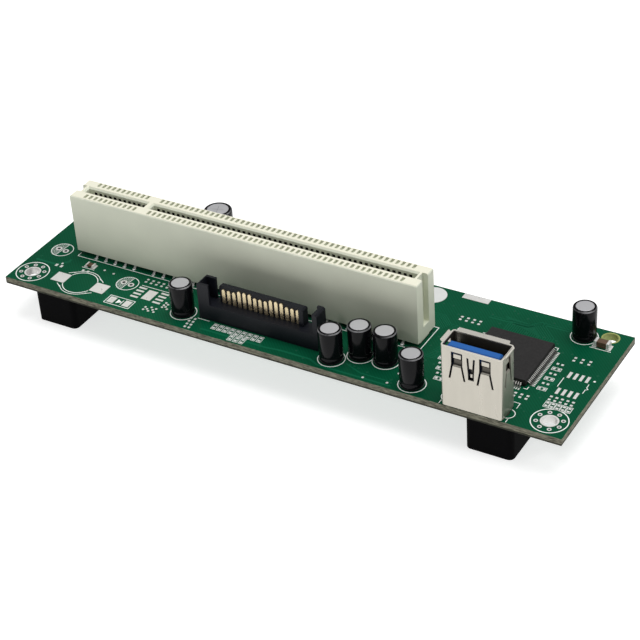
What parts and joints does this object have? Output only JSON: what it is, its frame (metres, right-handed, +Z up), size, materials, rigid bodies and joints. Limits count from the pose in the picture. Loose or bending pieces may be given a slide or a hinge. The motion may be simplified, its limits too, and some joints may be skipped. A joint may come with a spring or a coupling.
{
  "type": "pcie to pci adapter card",
  "caption": "Narrow green adapter board on rubber feet with an upright card slot, power header, upright USB-style link socket, bridge chip and electrolytic capacitors.",
  "frame": {"origin": "centre of the board's outline, on the plane that the feet stand on", "axes": "+X along the board's long side towards the link socket, +Y across the board towards its rear edge, +Z up, out of the card slot's mouth"},
  "size_m": [0.1316, 0.0364, 0.0251],
  "materials": {
    "circuit_board": "satin solder mask on glass-fibre board",
    "slot_plastic": "ivory moulded plastic",
    "contact_metal": "thin gold and tin plating",
    "black_plastic": "black moulded plastic",
    "shell_steel": "nickel-plated sheet",
    "blue_plastic": "blue moulded plastic",
    "chip_plastic": "matt moulding compound",
    "tinned_lead": "bright tin",
    "ceramic_brown": "fired ceramic",
    "foot_rubber": "matt rubber",
    "capacitor_sleeve": "shrunk plastic sleeve",
    "capacitor_can": "bright drawn can"
  },
  "bodies": {
    "root": {"printed_circuit_board": "circuit_board", "pci_slot_housing": "slot_plastic", "pci_contacts_rear": "contact_metal", "pci_contacts_front": "contact_metal", "power_connector_pins": "contact_metal", "usb_power_contacts": "contact_metal", "usb_data_contacts": "contact_metal", "power_connector_housing": "black_plastic", "usb_shell": "shell_steel", "usb_insulator": "blue_plastic", "bridge_chip_body": "chip_plastic", "bridge_chip_leads": "tinned_lead", "filter_capacitor_caps": "tinned_lead", "bypass_capacitor_caps": "tinned_lead", "filter_capacitor_body": "ceramic_brown", "bypass_capacitor_body": "ceramic_brown", "foot_front_left": "foot_rubber", "foot_front_right": "foot_rubber", "foot_rear_left": "foot_rubber", "foot_rear_right": "foot_rubber", "capacitor_a_sleeve": "capacitor_sleeve", "capacitor_a_can": "capacitor_can", "capacitor_b_sleeve": "capacitor_sleeve", "capacitor_b_can": "capacitor_can", "capacitor_c_sleeve": "capacitor_sleeve", "capacitor_c_can": "capacitor_can", "capacitor_d_sleeve": "capacitor_sleeve", "capacitor_d_can": "capacitor_can", "capacitor_e_sleeve": "capacitor_sleeve", "capacitor_e_can": "capacitor_can", "capacitor_f_sleeve": "capacitor_sleeve", "capacitor_f_can": "capacitor_can", "capacitor_g_sleeve": "capacitor_sleeve", "capacitor_g_can": "capacitor_can"}
  },
  "joints": []
}
